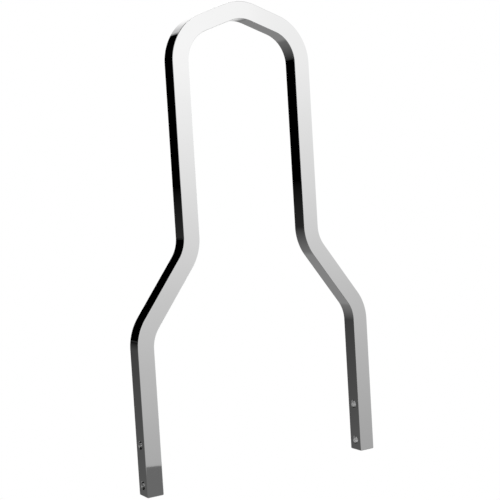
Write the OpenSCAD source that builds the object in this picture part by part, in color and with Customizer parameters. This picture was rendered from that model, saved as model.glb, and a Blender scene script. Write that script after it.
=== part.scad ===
// Sissy bar: one square steel bar, bent into a hoop with a low peak.
// Its two legs stand wide at the bottom, lean in, and rise as two closer uprights.
// X runs from leg to leg, Y through the bar's depth and Z up.
// The origin is midway between the square-cut ends of the legs, at mid depth.

/* [Bar] */
// Width of the square bar, half an inch
bar_w = 12.7; // [10:0.1:16]
// Radius along the bar's four long edges
edge_r = 0.7; // [0.3:0.1:1.5]
// Inside radius of every bend
bend_r = 24; // [12:0.5:30]
// Bevel round the square-cut end of each leg
end_bevel = 0.5; // [0.2:0.1:1]

/* [Outline] */
// Distance between the centre lines of the two legs
leg_spacing = 186; // [165:1:230]
// Distance between the centre lines of the two uprights
upright_spacing = 103; // [95:1:125]
// Height of the corner where a leg starts to lean in
leg_h = 113.5; // [90:0.5:160]
// Height gained while the bar leans in
lean_rise = 55.5; // [50:0.5:80]
// Height gained along an upright, from corner to corner
upright_rise = 154.5; // [110:0.5:300]
// Height gained from a shoulder's corner to the peak's corner
peak_rise = 18.8; // [12:0.2:30]

/* [Bolt holes] */
// Height of the lower hole above the end of the leg
hole_h = 7.94; // [7:0.01:12]
// Distance from the lower hole to the upper one
hole_pitch = 28.58; // [20:0.01:50]
// Diameter of each hole, made with a 7/32 inch drill
hole_d = 5.56; // [4:0.01:8]
// Width of the bevel round the mouth of each hole
mouth_bevel = 0.3; // [0.1:0.05:0.5]

/* [Hidden] */

// Overshoot of a cut past the face that it opens
past = 1;
centre_r = bend_r + bar_w / 2;
hole_r = hole_d / 2;

// The bent bar is put together in metres and enlarged when it is whole, so that the
// rounding of its angles is far too small to part a straight run from its bend.
metre = 1000;
path_w = bar_w / metre;
path_edge_r = edge_r / metre;
path_r = centre_r / metre;

// One side of the bar, from the end of a leg up to the peak: its straight stretches,
// measured from corner to corner, and the turn to the left that follows each of them.
lean_in = (leg_spacing - upright_spacing) / 2;
lean_angle = atan2(lean_in, lean_rise);
peak_slope = atan2(peak_rise, upright_spacing / 2);
spans = [leg_h, norm([lean_in, lean_rise]), upright_rise, norm([upright_spacing / 2, peak_rise])];
turns = [lean_angle, -lean_angle, 90 - peak_slope, 2 * peak_slope];

// Length that the bend at the end of stretch i takes from it, and from the next one
function setback(i) = i < 0 ? 0 : centre_r * tan(abs(turns[i]) / 2);

// Length of stretch i that is left straight, in metres
function straight(i) = (spans[i] - setback(i - 1) - setback(i)) / metre;

// The bar's section, in metres: a square with its corners rounded
module section() {
    flat = path_w - 2 * path_edge_r;
    square([path_w, flat], center = true);
    square([flat, path_w], center = true);
    for (x = [-1, 1], y = [-1, 1])
        translate([x, y] * flat / 2)
            circle(r = path_edge_r, $fn = 32);
}

// Straight length of bar along +Y
module run(length) {
    rotate([-90, 0, 0])
        linear_extrude(length)
            section();
}

// Bend round the origin that starts along +Y: a ring, kept from there to the turn's end
module bend(turn) {
    reach = path_r + path_w;
    keep = [2 * reach, reach, 2 * path_w];
    intersection() {
        rotate_extrude($fn = 180)
            translate([path_r, 0])
                section();
        translate([-reach, 0, -path_w])
            cube(keep);
        rotate([0, 0, turn])
            translate([-reach, -reach, -path_w])
                cube(keep);
    }
}

// The bar from stretch i to the peak: a run, the bend after it, and the rest from there on
module bar_from(i) {
    side = sign(turns[i]);
    run(straight(i));
    translate([-side * path_r, straight(i), 0]) {
        bend(turns[i]);
        if (i < len(spans) - 1)
            rotate([0, 0, turns[i]])
                translate([side * path_r, 0, 0])
                    bar_from(i + 1);
    }
}

// Half of the hoop, cut off at the middle of the peak
module half_hoop() {
    peak_h = leg_h + lean_rise + upright_rise + peak_rise;
    rotate([90, 0, 0])
        intersection() {
            translate([leg_spacing / 2, 0, 0])
                scale(metre)
                    bar_from(0);
            translate([0, -past, -bar_w])
                cube([leg_spacing, peak_h + bar_w, 2 * bar_w]);
        }
}

// Bolt hole along X through a leg, with a bevelled mouth on each face
module bolt_hole() {
    cone_h = mouth_bevel + past;
    rotate([0, 90, 0])
        cylinder(r = hole_r, h = bar_w + 2 * past, center = true, $fn = 64);
    for (side = [-90, 90])
        rotate([0, side, 0])
            translate([0, 0, bar_w / 2 - mouth_bevel])
                cylinder(r1 = hole_r, r2 = hole_r + cone_h, h = cone_h, $fn = 64);
}

// Cut that bevels the end of a leg, with one slope for each side of the bar
module end_cut() {
    for (side = [0:90:270])
        rotate([0, 0, side])
            translate([bar_w / 2, 0, end_bevel])
                rotate([0, 45, 0])
                    translate([0, -bar_w / 2 - past, -bar_w])
                        cube([bar_w, bar_w + 2 * past, bar_w + past]);
}

module bent_bar() {
    color("gainsboro")
        difference() {
            union() {
                half_hoop();
                mirror([1, 0, 0])
                    half_hoop();
            }
            for (side = [-1, 1])
                translate([side * leg_spacing / 2, 0, 0]) {
                    end_cut();
                    for (h = [hole_h, hole_h + hole_pitch])
                        translate([0, 0, h])
                            bolt_hole();
                }
        }
}

bent_bar();
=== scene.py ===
# Chromed sissy bar: one square steel bar, bent into a hoop, with two bolt holes near the end of each leg.
import math

import bpy
from mathutils import Matrix


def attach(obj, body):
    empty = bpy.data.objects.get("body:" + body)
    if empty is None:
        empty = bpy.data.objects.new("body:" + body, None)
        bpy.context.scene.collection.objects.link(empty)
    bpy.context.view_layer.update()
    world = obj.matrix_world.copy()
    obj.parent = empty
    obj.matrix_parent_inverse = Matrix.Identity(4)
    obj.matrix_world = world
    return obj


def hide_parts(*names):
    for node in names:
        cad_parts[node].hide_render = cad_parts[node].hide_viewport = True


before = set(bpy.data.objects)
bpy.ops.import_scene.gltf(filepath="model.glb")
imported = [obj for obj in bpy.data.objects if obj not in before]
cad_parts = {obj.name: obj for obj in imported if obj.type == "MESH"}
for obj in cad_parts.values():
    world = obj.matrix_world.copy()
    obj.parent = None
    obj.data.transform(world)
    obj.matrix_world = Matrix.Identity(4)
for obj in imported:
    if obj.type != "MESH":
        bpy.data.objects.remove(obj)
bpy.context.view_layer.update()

# Sizes of the bar, in millimetres, as in the part's source, apart from the edge radius.
# That is 0.7 in the source, but the photo's outline fits sharper edges.
MM = 0.001
BAR_WIDTH = 12.7
EDGE_RADIUS = 0.4
BEND_RADIUS = 24.0
END_BEVEL = 0.5
LEG_SPACING = 186.0
UPRIGHT_SPACING = 103.0
LEG_HEIGHT = 113.5
LEAN_RISE = 55.5
UPRIGHT_RISE = 154.5
PEAK_RISE = 18.8
HOLE_HEIGHT = 7.94
HOLE_SPACING = 28.58
HOLE_DIAMETER = 5.56
MOUTH_BEVEL = 0.3

# Fineness of the mesh: steps in a corner of the section and in a bend, and sides of a hole
EDGE_STEPS = 8
BEND_STEPS = 64
HOLE_SIDES = 96
# Points closer than this, in millimetres, become one
JOIN_DISTANCE = 0.001
# Edges that bend by more than this, in degrees, stay sharp
SHARP_ANGLE = 30


# Building node trees
def feed(tree, socket, value):
    """Links a socket's value, or sets it as the input's own value."""
    if isinstance(value, bpy.types.NodeSocket):
        tree.links.new(value, socket)
    else:
        socket.default_value = value


def node(tree, kind, inputs=None, **settings):
    """Adds a node with these settings and inputs, which are named or numbered."""
    made = tree.nodes.new(kind)
    for name, value in settings.items():
        setattr(made, name, value)
    for name, value in (inputs or {}).items():
        feed(tree, made.inputs[name], value)
    return made


def maths(tree, operation, *values):
    return node(tree, "ShaderNodeMath", dict(enumerate(values)), operation=operation).outputs[0]


def span(tree, first, second):
    """Length of the diagonal over two sides at a right angle."""
    squares = [maths(tree, "MULTIPLY", side, side) for side in (first, second)]
    return maths(tree, "SQRT", maths(tree, "ADD", *squares))


def grey(level):
    return (level, level, level, 1.0)


# A Mix node has a set of sockets for each kind of value, so they are picked by number
def mixed_value(tree, share, first, second):
    return node(tree, "ShaderNodeMix", {0: share, 2: first, 3: second}, data_type="FLOAT").outputs[0]


def mixed_colour(tree, share, first, second):
    return node(tree, "ShaderNodeMix", {0: share, 6: first, 7: second}, data_type="RGBA").outputs[2]


def new_group(name, kind, inputs, outputs):
    """A node group with these (name, socket type, default) inputs and (name, socket type) outputs."""
    tree = bpy.data.node_groups.new(name, kind)
    for label, socket_type, default in inputs:
        socket = tree.interface.new_socket(label, in_out="INPUT", socket_type=socket_type)
        if default is not None:
            socket.default_value = default
    for label, socket_type in outputs:
        tree.interface.new_socket(label, in_out="OUTPUT", socket_type=socket_type)
    return tree, tree.nodes.new("NodeGroupInput").outputs, tree.nodes.new("NodeGroupOutput").inputs


# The cutters of a bolt hole
def hole_cutter_tree():
    """Cutters of one bolt hole along Z: a drill, and a cone for the bevelled mouth on each face."""
    tree, given, result = new_group(
        "hole_cutters",
        "GeometryNodeTree",
        [
            ("Hole Radius", "NodeSocketFloat", HOLE_DIAMETER / 2),
            ("Mouth Bevel", "NodeSocketFloat", MOUTH_BEVEL),
            ("Bar Width", "NodeSocketFloat", BAR_WIDTH),
            ("Sides", "NodeSocketInt", HOLE_SIDES),
        ],
        [("Drill", "NodeSocketGeometry"), ("Cones", "NodeSocketGeometry")],
    )
    # How far a cutter reaches past a face, in millimetres
    past = 1.0
    radius = given["Hole Radius"]
    drill = node(
        tree,
        "GeometryNodeMeshCylinder",
        {
            "Vertices": given["Sides"],
            "Radius": radius,
            "Depth": maths(tree, "ADD", given["Bar Width"], 2 * past),
        },
    )
    tree.links.new(drill.outputs["Mesh"], result["Drill"])

    # Each cone starts inside the drill and widens by one for each step outwards
    depth = maths(tree, "ADD", given["Mouth Bevel"], past)
    cone = node(
        tree,
        "GeometryNodeMeshCone",
        {
            "Vertices": given["Sides"],
            "Radius Bottom": maths(tree, "SUBTRACT", radius, past),
            "Radius Top": maths(tree, "ADD", radius, depth),
            "Depth": maths(tree, "ADD", depth, past),
        },
    )
    start = maths(tree, "SUBTRACT", maths(tree, "MULTIPLY", given["Bar Width"], 0.5), depth)
    raised = node(
        tree,
        "GeometryNodeTransform",
        {
            "Geometry": cone.outputs["Mesh"],
            "Translation": node(tree, "ShaderNodeCombineXYZ", {"Z": start}).outputs[0],
        },
    )
    turned = node(
        tree, "GeometryNodeTransform", {"Geometry": raised.outputs[0], "Rotation": (math.pi, 0.0, 0.0)}
    )
    both = node(tree, "GeometryNodeJoinGeometry")
    for one in (raised, turned):
        tree.links.new(one.outputs[0], both.inputs[0])
    tree.links.new(both.outputs[0], result["Cones"])
    return tree


# The bar along its bent path
def bent_bar_tree(hole_cutters):
    """The whole bar: a square section with rounded edges, swept along a path, bevelled and drilled."""
    tree, given, result = new_group(
        "bent_square_bar",
        "GeometryNodeTree",
        [
            ("Path", "NodeSocketGeometry", None),
            ("Bar Width", "NodeSocketFloat", BAR_WIDTH),
            ("Edge Radius", "NodeSocketFloat", EDGE_RADIUS),
            ("Edge Steps", "NodeSocketInt", EDGE_STEPS),
            ("Bend Radius", "NodeSocketFloat", BEND_RADIUS),
            ("Bend Steps", "NodeSocketInt", BEND_STEPS),
            ("End Bevel", "NodeSocketFloat", END_BEVEL),
            ("Leg Spacing", "NodeSocketFloat", LEG_SPACING),
            ("Hole Height", "NodeSocketFloat", HOLE_HEIGHT),
            ("Hole Spacing", "NodeSocketFloat", HOLE_SPACING),
            ("Hole Diameter", "NodeSocketFloat", HOLE_DIAMETER),
            ("Hole Sides", "NodeSocketInt", HOLE_SIDES),
            ("Mouth Bevel", "NodeSocketFloat", MOUTH_BEVEL),
            ("Finish", "NodeSocketMaterial", None),
        ],
        [("Geometry", "NodeSocketGeometry")],
    )
    width = given["Bar Width"]
    half_width = maths(tree, "MULTIPLY", width, 0.5)

    # The path's corners are rounded to the bends, and the section is swept along it
    corners = node(tree, "GeometryNodeMeshToCurve", {"Mesh": given["Path"]})
    path = node(
        tree,
        "GeometryNodeFilletCurve",
        {
            "Curve": corners.outputs[0],
            "Count": given["Bend Steps"],
            "Radius": maths(tree, "ADD", given["Bend Radius"], half_width),
        },
        mode="POLY",
    )
    square = node(tree, "GeometryNodeCurvePrimitiveQuadrilateral", {"Width": width, "Height": width})
    section = node(
        tree,
        "GeometryNodeFilletCurve",
        {"Curve": square.outputs[0], "Count": given["Edge Steps"], "Radius": given["Edge Radius"]},
        mode="POLY",
    )
    swept = node(
        tree,
        "GeometryNodeCurveToMesh",
        {"Curve": path.outputs[0], "Profile Curve": section.outputs[0], "Fill Caps": True},
    )

    # The path stops short of each end by the bevel, which is drawn out from the end face.
    # Only the middles of the two end faces lie lower than one and a half bevels.
    place = node(tree, "ShaderNodeSeparateXYZ", {0: node(tree, "GeometryNodeInputPosition").outputs[0]})
    at_end = node(
        tree,
        "FunctionNodeCompare",
        {"A": place.outputs["Z"], "B": maths(tree, "MULTIPLY", given["End Bevel"], 1.5)},
        data_type="FLOAT",
        operation="LESS_THAN",
    )
    drawn = node(
        tree,
        "GeometryNodeExtrudeMesh",
        {"Mesh": swept.outputs[0], "Selection": at_end.outputs[0], "Offset Scale": given["End Bevel"]},
        mode="FACES",
    )
    narrowing = maths(tree, "DIVIDE", given["End Bevel"], half_width)
    bevelled = node(
        tree,
        "GeometryNodeScaleElements",
        {
            "Geometry": drawn.outputs["Mesh"],
            "Selection": drawn.outputs["Top"],
            "Scale": maths(tree, "SUBTRACT", 1.0, narrowing),
        },
        domain="FACE",
    )

    # The four holes stand at the corners of an upright rectangle
    rectangle = node(
        tree,
        "GeometryNodeMeshGrid",
        {"Size X": given["Leg Spacing"], "Size Y": given["Hole Spacing"], "Vertices X": 2, "Vertices Y": 2},
    )
    middle = maths(tree, "ADD", given["Hole Height"], maths(tree, "MULTIPLY", given["Hole Spacing"], 0.5))
    hole_points = node(
        tree,
        "GeometryNodeTransform",
        {
            "Geometry": rectangle.outputs["Mesh"],
            "Translation": node(tree, "ShaderNodeCombineXYZ", {"Z": middle}).outputs[0],
            "Rotation": (math.pi / 2, 0.0, 0.0),
        },
    )
    cutters = node(tree, "GeometryNodeGroup", node_tree=hole_cutters)
    for name, value in (
        ("Hole Radius", maths(tree, "MULTIPLY", given["Hole Diameter"], 0.5)),
        ("Mouth Bevel", given["Mouth Bevel"]),
        ("Bar Width", width),
        ("Sides", given["Hole Sides"]),
    ):
        feed(tree, cutters.inputs[name], value)
    drilled = node(tree, "GeometryNodeMeshBoolean", operation="DIFFERENCE", solver="MANIFOLD")
    tree.links.new(bevelled.outputs[0], drilled.inputs["Mesh 1"])
    for cutter in cutters.outputs:
        along_x = node(
            tree, "GeometryNodeTransform", {"Geometry": cutter, "Rotation": (0.0, math.pi / 2, 0.0)}
        )
        copies = node(
            tree,
            "GeometryNodeInstanceOnPoints",
            {"Points": hole_points.outputs[0], "Instance": along_x.outputs[0]},
        )
        real = node(tree, "GeometryNodeRealizeInstances", {"Geometry": copies.outputs[0]})
        tree.links.new(real.outputs[0], drilled.inputs["Mesh 2"])

    # Where a cone leaves the drill, the cut leaves pairs of points that all but touch
    joined = node(
        tree,
        "GeometryNodeMergeByDistance",
        {"Geometry": drilled.outputs["Mesh"], "Distance": JOIN_DISTANCE},
    )
    smooth = node(
        tree, "GeometryNodeSetShadeSmooth", {"Geometry": joined.outputs[0], "Shade Smooth": True}
    )
    whole = node(tree, "GeometryNodeRealizeInstances", {"Geometry": smooth.outputs[0]})
    finished = node(
        tree, "GeometryNodeSetMaterial", {"Geometry": whole.outputs[0], "Material": given["Finish"]}
    )
    tree.links.new(finished.outputs[0], result["Geometry"])
    return tree


def give_inputs(modifier, values):
    """Sets a Geometry Nodes modifier's inputs by their sockets' identifiers."""
    identifiers = {
        item.name: item.identifier
        for item in modifier.node_group.interface.items_tree
        if item.item_type == "SOCKET" and item.in_out == "INPUT"
    }
    for name, value in values.items():
        modifier[identifiers[name]] = value


def settled(piece):
    """Turns the piece's live modifiers into its plain mesh."""
    bpy.context.view_layer.update()
    graph = bpy.context.evaluated_depsgraph_get()
    mesh = bpy.data.meshes.new_from_object(piece.evaluated_get(graph), depsgraph=graph)
    piece.modifiers.clear()
    piece.data = mesh
    return mesh


def hoop_corners():
    """The corners of the bar's centre line, from the left leg's end over the peak to the right leg's."""
    leg_x = LEG_SPACING / 2
    upright_x = UPRIGHT_SPACING / 2
    lean_top = LEG_HEIGHT + LEAN_RISE
    shoulder = lean_top + UPRIGHT_RISE
    side = [(leg_x, END_BEVEL), (leg_x, LEG_HEIGHT), (upright_x, lean_top), (upright_x, shoulder)]
    left = [(-x, 0.0, z) for x, z in side]
    right = [(x, 0.0, z) for x, z in reversed(side)]
    return left + [(0.0, 0.0, shoulder + PEAK_RISE)] + right


def make_bar(finish):
    """The finished bar, made in millimetres and then brought to metres."""
    corners = hoop_corners()
    path = bpy.data.meshes.new("hoop_corners")
    path.from_pydata(corners, [(i, i + 1) for i in range(len(corners) - 1)], [])
    bar = bpy.data.objects.new("chromed_bar", path)
    bpy.context.scene.collection.objects.link(bar)
    sweep = bar.modifiers.new("bent_square_bar", "NODES")
    sweep.node_group = bent_bar_tree(hole_cutter_tree())
    give_inputs(
        sweep,
        {
            "Bar Width": BAR_WIDTH,
            "Edge Radius": EDGE_RADIUS,
            "Edge Steps": EDGE_STEPS,
            "Bend Radius": BEND_RADIUS,
            "Bend Steps": BEND_STEPS,
            "End Bevel": END_BEVEL,
            "Leg Spacing": LEG_SPACING,
            "Hole Height": HOLE_HEIGHT,
            "Hole Spacing": HOLE_SPACING,
            "Hole Diameter": HOLE_DIAMETER,
            "Hole Sides": HOLE_SIDES,
            "Mouth Bevel": MOUTH_BEVEL,
            "Finish": finish,
        },
    )
    settled(bar).set_sharp_from_angle(angle=math.radians(SHARP_ANGLE))
    # Each flat keeps its own normal up to the rounded edges, so it mirrors like a flat
    level = bar.modifiers.new("flats_stay_flat", "WEIGHTED_NORMAL")
    level.weight = 100
    level.keep_sharp = True
    settled(bar).transform(Matrix.Scale(MM, 4))
    return bar


# The chrome plate. A plate is (tone, dulled tone, roughness, haze).
OUTSIDE_PLATE = (0.885, 0.87, 0.018, 0.02)
HOLE_PLATE = (0.8, 0.74, 0.1, 0.1)
# The noise of its polish is (scale, detail, roughness)
BROAD_NOISE = (22.0, 3.0, 0.5)
FINE_NOISE = (640.0, 4.0, 0.6)


def polish_group():
    """Broad and fine unevenness of a polished surface: faint tone, haze and height."""
    tree, given, result = new_group(
        "polish",
        "ShaderNodeTree",
        [
            ("Vector", "NodeSocketVector", None),
            ("Tone", "NodeSocketColor", grey(0.8)),
            ("Dulled Tone", "NodeSocketColor", grey(0.7)),
            ("Roughness", "NodeSocketFloat", 0.03),
            ("Haze", "NodeSocketFloat", 0.02),
        ],
        [("Color", "NodeSocketColor"), ("Roughness", "NodeSocketFloat"), ("Height", "NodeSocketFloat")],
    )
    broad, fine = [
        node(
            tree,
            "ShaderNodeTexNoise",
            {"Vector": given["Vector"], "Scale": scale, "Detail": detail, "Roughness": roughness},
        )
        for scale, detail, roughness in (BROAD_NOISE, FINE_NOISE)
    ]
    patches = node(
        tree, "ShaderNodeMapRange", {"Value": broad.outputs["Fac"], "From Min": 0.45, "From Max": 0.75}
    ).outputs["Result"]
    tone = mixed_colour(tree, patches, given["Tone"], given["Dulled Tone"])
    tree.links.new(tone, result["Color"])
    haze = maths(tree, "MULTIPLY", maths(tree, "MULTIPLY", patches, fine.outputs["Fac"]), given["Haze"])
    tree.links.new(maths(tree, "ADD", given["Roughness"], haze), result["Roughness"])
    tree.links.new(fine.outputs["Fac"], result["Height"])
    return tree


def new_material(name):
    material = bpy.data.materials.new(name)
    material.use_nodes = True
    material.node_tree.nodes.clear()
    return material, material.node_tree


def in_holes(tree, place):
    """1 on the walls of the bolt holes and 0 elsewhere, from the distance to the holes' axes."""
    axes = node(tree, "ShaderNodeSeparateXYZ", {0: place}).outputs
    gaps = [
        span(tree, axes["Y"], maths(tree, "SUBTRACT", axes["Z"], height * MM))
        for height in (HOLE_HEIGHT, HOLE_HEIGHT + HOLE_SPACING)
    ]
    wall = HOLE_DIAMETER / 2 * MM
    # The mask fades out just outside the wall, at the start of the bevelled mouth
    return node(
        tree,
        "ShaderNodeMapRange",
        {"Value": maths(tree, "MINIMUM", *gaps), "From Min": wall * 1.03, "From Max": wall * 1.01},
    ).outputs["Result"]


def chrome_material(polish):
    """Bright chrome plate, a little duller on the walls of the holes, where no polishing wheel reaches."""
    material, tree = new_material("chrome_plate")
    place = node(tree, "ShaderNodeTexCoord").outputs["Object"]
    plates = []
    for tone, dulled, roughness, haze in (OUTSIDE_PLATE, HOLE_PLATE):
        plate = node(tree, "ShaderNodeGroup", node_tree=polish)
        feed(tree, plate.inputs["Vector"], place)
        feed(tree, plate.inputs["Tone"], grey(tone))
        feed(tree, plate.inputs["Dulled Tone"], grey(dulled))
        feed(tree, plate.inputs["Roughness"], roughness)
        feed(tree, plate.inputs["Haze"], haze)
        plates.append(plate.outputs)
    outside, inside = plates
    hidden = in_holes(tree, place)
    bump = node(
        tree, "ShaderNodeBump", {"Height": outside["Height"], "Strength": 0.02, "Distance": 0.00002}
    )
    shader = node(
        tree,
        "ShaderNodeBsdfPrincipled",
        {
            "Base Color": mixed_colour(tree, hidden, outside["Color"], inside["Color"]),
            "Metallic": 1.0,
            "Roughness": mixed_value(tree, hidden, outside["Roughness"], inside["Roughness"]),
            "Normal": bump.outputs[0],
        },
    )
    node(tree, "ShaderNodeOutputMaterial", {"Surface": shader.outputs[0]})
    return material


# The studio that the chrome mirrors, in metres. A bearing is in degrees, from +Y towards +X.
FLOOR_LEVEL = -0.6
FAR = 2000.0
SCREEN_STEP = 3.0
# The bright sweep, from the back past the right to the front left
SWEEP_RADIUS = 2.41
SWEEP_TOP = 4.0
SWEEP_START = -3.3
SWEEP_END = 230.0
SWEEP_TONE = 1.06
# The dark side far off, which closes the gap in the sweep, and its low grey skyline
DARK_END = 2.0
DARK_TOP = 12000.0
SKYLINE_TONE = 0.02
SKYLINE_TOP = 100.0
SKYLINE_FADE_TOP = 110.0
# The black flag, nearer, which hangs over the skyline
FLAG_RADIUS = 3.8
FLAG_START = -55.0
FLAG_END = -5.0
FLAG_BOTTOM = 0.21
FLAG_TOP = 1.2
# The floor's tone at the back left falls with distance: tone at one metre, power, and nearest distance
FADE_TONE = 0.186
FADE_POWER = -0.75
FADE_FROM = 0.3


def graded(tree, value, stops):
    """A grey ramp over a value. The stops are (value, brightness)."""
    low = stops[0][0]
    high = stops[-1][0]
    share = node(tree, "ShaderNodeMapRange", {"Value": value, "From Min": low, "From Max": high}).outputs[0]
    ramp = node(tree, "ShaderNodeValToRGB", {"Fac": share})
    elements = ramp.color_ramp.elements
    while len(elements) < len(stops):
        elements.new(0.5)
    for element, (place, brightness) in zip(elements, stops):
        element.position = (place - low) / (high - low)
        element.color = grey(brightness)
    return ramp.outputs["Color"]


def studio_place(tree, start):
    """Bearing of a point of the studio, counted from start, its distance from the middle and its height."""
    point = node(tree, "ShaderNodeTexCoord").outputs["Object"]
    place = node(tree, "ShaderNodeSeparateXYZ", {0: point}).outputs
    angle = maths(tree, "ARCTAN2", place["X"], place["Y"])
    degrees = maths(tree, "MULTIPLY", angle, math.degrees(1))
    bearing = maths(tree, "WRAP", degrees, start + 360.0, start)
    return bearing, span(tree, place["X"], place["Y"]), place["Z"]


def glow(tree, brightness, shown=None):
    """Emission of this brightness. Where shown is given, the camera sees that tone instead."""
    surface = node(tree, "ShaderNodeEmission", {"Strength": brightness}).outputs[0]
    if shown is not None:
        seen = node(tree, "ShaderNodeEmission", {"Color": grey(shown)}).outputs[0]
        camera_ray = node(tree, "ShaderNodeLightPath").outputs["Is Camera Ray"]
        surface = node(tree, "ShaderNodeMixShader", {0: camera_ray, 1: surface, 2: seen}).outputs[0]
    node(tree, "ShaderNodeOutputMaterial", {"Surface": surface})


def stage_piece(name, points, faces, material):
    mesh = bpy.data.meshes.new(name)
    mesh.from_pydata(points, [], faces)
    mesh.materials.append(material)
    piece = bpy.data.objects.new(name, mesh)
    bpy.context.scene.collection.objects.link(piece)
    return piece


def screen(name, radius, start, end, top, material, bottom=FLOOR_LEVEL):
    """Upright curved screen round the object, from one bearing to another, that only the chrome sees."""
    steps = round((end - start) / SCREEN_STEP)
    points = []
    faces = []
    for i in range(steps + 1):
        angle = math.radians(start + (end - start) * i / steps)
        for z in (bottom, top):
            points.append((radius * math.sin(angle), radius * math.cos(angle), z))
        if i:
            faces.append((2 * i - 2, 2 * i - 1, 2 * i + 1, 2 * i))
    piece = stage_piece(name, points, faces, material)
    piece.visible_camera = False
    piece.visible_diffuse = False
    piece.visible_shadow = False


def make_floor():
    """White to the camera. The chrome sees it dark in front, bright on the right and grey behind."""
    material, tree = new_material("studio_floor")
    bearing, distance, _ = studio_place(tree, -180.0)
    tone = graded(
        tree,
        bearing,
        [
            (-180, 0.152), (-60, 0.14), (-3, 0.248), (75, 0.248),
            (90, 1.0), (125, 1.0), (138, 0.152), (180, 0.152),
        ],
    )
    fall = maths(tree, "POWER", maths(tree, "MAXIMUM", distance, FADE_FROM), FADE_POWER)
    faded = maths(tree, "MULTIPLY", fall, FADE_TONE)
    back_left = graded(
        tree, bearing, [(-180, 0.0), (-95, 0.0), (-60, 1.0), (-11, 1.0), (-3, 0.0), (180, 0.0)]
    )
    glow(tree, mixed_value(tree, back_left, tone, faded), shown=1.0)
    corner = FAR * 1.5
    stage_piece(
        "floor",
        [(x * corner, y * corner, FLOOR_LEVEL) for x, y in ((-1, -1), (1, -1), (1, 1), (-1, 1))],
        [(0, 1, 2, 3)],
        material,
    )


def make_sweep():
    """Bright sweep at the back, right and front. Its tone changes with height, by sector, and bearing."""
    material, tree = new_material("studio_sweep")
    bearing, _, height = studio_place(tree, -90.0)
    back = graded(tree, height, [(FLOOR_LEVEL, 0.18), (-0.1, 0.25), (0.7, 0.35), (1.0, 1.0)])
    back_right = graded(
        tree,
        height,
        [(FLOOR_LEVEL, 0.18), (-0.45, 0.2), (-0.03, 0.55), (0.42, 0.79), (0.81, 0.97), (1.0, 1.0)],
    )
    right = graded(tree, height, [(FLOOR_LEVEL, 0.85), (0.4, 1.0), (1.3, 1.0), (2.4, 0.8)])
    front = graded(
        tree,
        height,
        [
            (FLOOR_LEVEL, 0.42), (-0.45, 0.468), (-0.3, 0.517), (-0.1, 0.602), (0.0, 0.665),
            (0.1, 0.722), (0.2, 0.772), (0.33, 0.838), (0.45, 0.9), (0.56, 0.96),
            (0.7, 0.985), (0.85, 0.985), (1.2, 0.5), (1.6, 0.15),
        ],
    )
    # Each sector takes over from the one before between two bearings
    heights = back
    for sector, begins, full in ((back_right, 18, 25), (right, 34, 50), (front, 118, 138)):
        share = graded(tree, bearing, [(begins, 0.0), (full, 1.0)])
        heights = mixed_value(tree, share, heights, sector)
    around = graded(
        tree,
        bearing,
        [
            (SWEEP_START, 0.52), (-1, 0.56), (2.5, 0.6), (5.4, 0.68), (8.4, 0.75), (10.8, 0.82),
            (13.3, 0.91), (17, 0.97), (24, 1.0), (110, 1.0), (135, 0.9), (142.5, 0.92),
            (146.8, 0.927), (147.6, 0.965), (152, 1.0), (200, 1.0), (SWEEP_END, 0.3),
        ],
    )
    glow(tree, maths(tree, "MULTIPLY", maths(tree, "MULTIPLY", heights, around), SWEEP_TONE))
    screen("bright_sweep", SWEEP_RADIUS, SWEEP_START, SWEEP_END, SWEEP_TOP, material)


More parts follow.
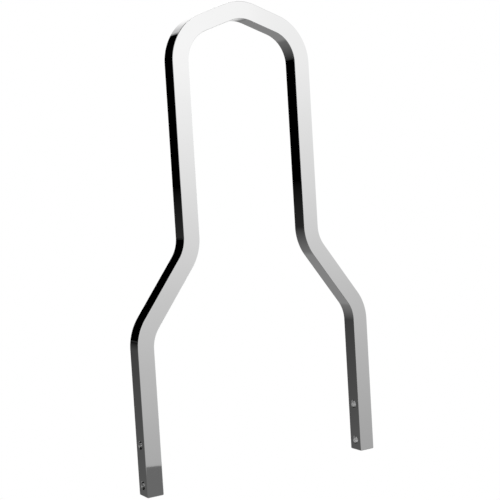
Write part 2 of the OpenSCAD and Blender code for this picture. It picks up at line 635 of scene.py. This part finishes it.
def make_dark_side():
    """A dark screen far off on the left, and a black flag before it."""
    material, tree = new_material("studio_dark")
    bearing, _, height = studio_place(tree, -180.0)
    sides = graded(
        tree,
        bearing,
        [
            (-180, 0.3), (-130, 0.3), (-100, 0.4), (-75, 0.12),
            (FLAG_START, 0.0), (FLAG_END, 0.0), (-3.8, 0.3), (DARK_END, 0.3),
        ],
    )
    skyline = graded(
        tree, height, [(FLOOR_LEVEL, SKYLINE_TONE), (SKYLINE_TOP, SKYLINE_TONE), (SKYLINE_FADE_TOP, 0.0)]
    )
    glow(tree, maths(tree, "MAXIMUM", sides, skyline))
    screen("dark_screen", FAR, SWEEP_END - 360, DARK_END, DARK_TOP, material)

    material, tree = new_material("studio_flag")
    glow(tree, 0.0)
    screen("dark_flag", FLAG_RADIUS, FLAG_START, FLAG_END, FLAG_TOP, material, bottom=FLAG_BOTTOM)


def light_studio():
    """White surroundings, softer on matt surfaces, and one wide lamp overhead."""
    world = bpy.data.worlds.new("studio_white")
    bpy.context.scene.world = world
    world.use_nodes = True
    tree = world.node_tree
    tree.nodes.clear()
    rays = node(tree, "ShaderNodeLightPath").outputs
    direct = maths(tree, "MAXIMUM", rays["Is Camera Ray"], rays["Is Glossy Ray"])
    direct = maths(tree, "MAXIMUM", direct, rays["Is Transmission Ray"])
    soft_strength = 0.6
    white_strength = 1.0
    soft, white = [
        node(tree, "ShaderNodeBackground", {"Color": grey(1.0), "Strength": strength}).outputs[0]
        for strength in (soft_strength, white_strength)
    ]
    surface = node(tree, "ShaderNodeMixShader", {0: direct, 1: soft, 2: white}).outputs[0]
    node(tree, "ShaderNodeOutputWorld", {"Surface": surface})

    lamp = bpy.data.lights.new("overhead_softbox", "AREA")
    lamp.size = 2.5
    lamp.energy = 20.0
    overhead = bpy.data.objects.new("overhead_softbox", lamp)
    overhead.location = (0.4, -0.5, 3.6)
    bpy.context.scene.collection.objects.link(overhead)


def make_camera():
    """The photograph's view: from the front left, a little above the middle, slightly rolled."""
    data = bpy.data.cameras.new("photo_view")
    data.lens = 78.889
    data.sensor_width = 36.0
    data.clip_start = 0.01
    data.clip_end = 100.0
    camera = bpy.data.objects.new("photo_view", data)
    camera.location = (-0.42074, -0.69049, 0.21479)
    camera.rotation_euler = [math.radians(angle) for angle in (86.4993, 3.4513, -31.5629)]
    bpy.context.scene.collection.objects.link(camera)
    bpy.context.scene.camera = camera


make_camera()
make_floor()
make_sweep()
make_dark_side()
light_studio()
bar = make_bar(chrome_material(polish_group()))
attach(bar, "root")
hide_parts("bent_bar")
bpy.context.scene.view_settings.view_transform = "Standard"
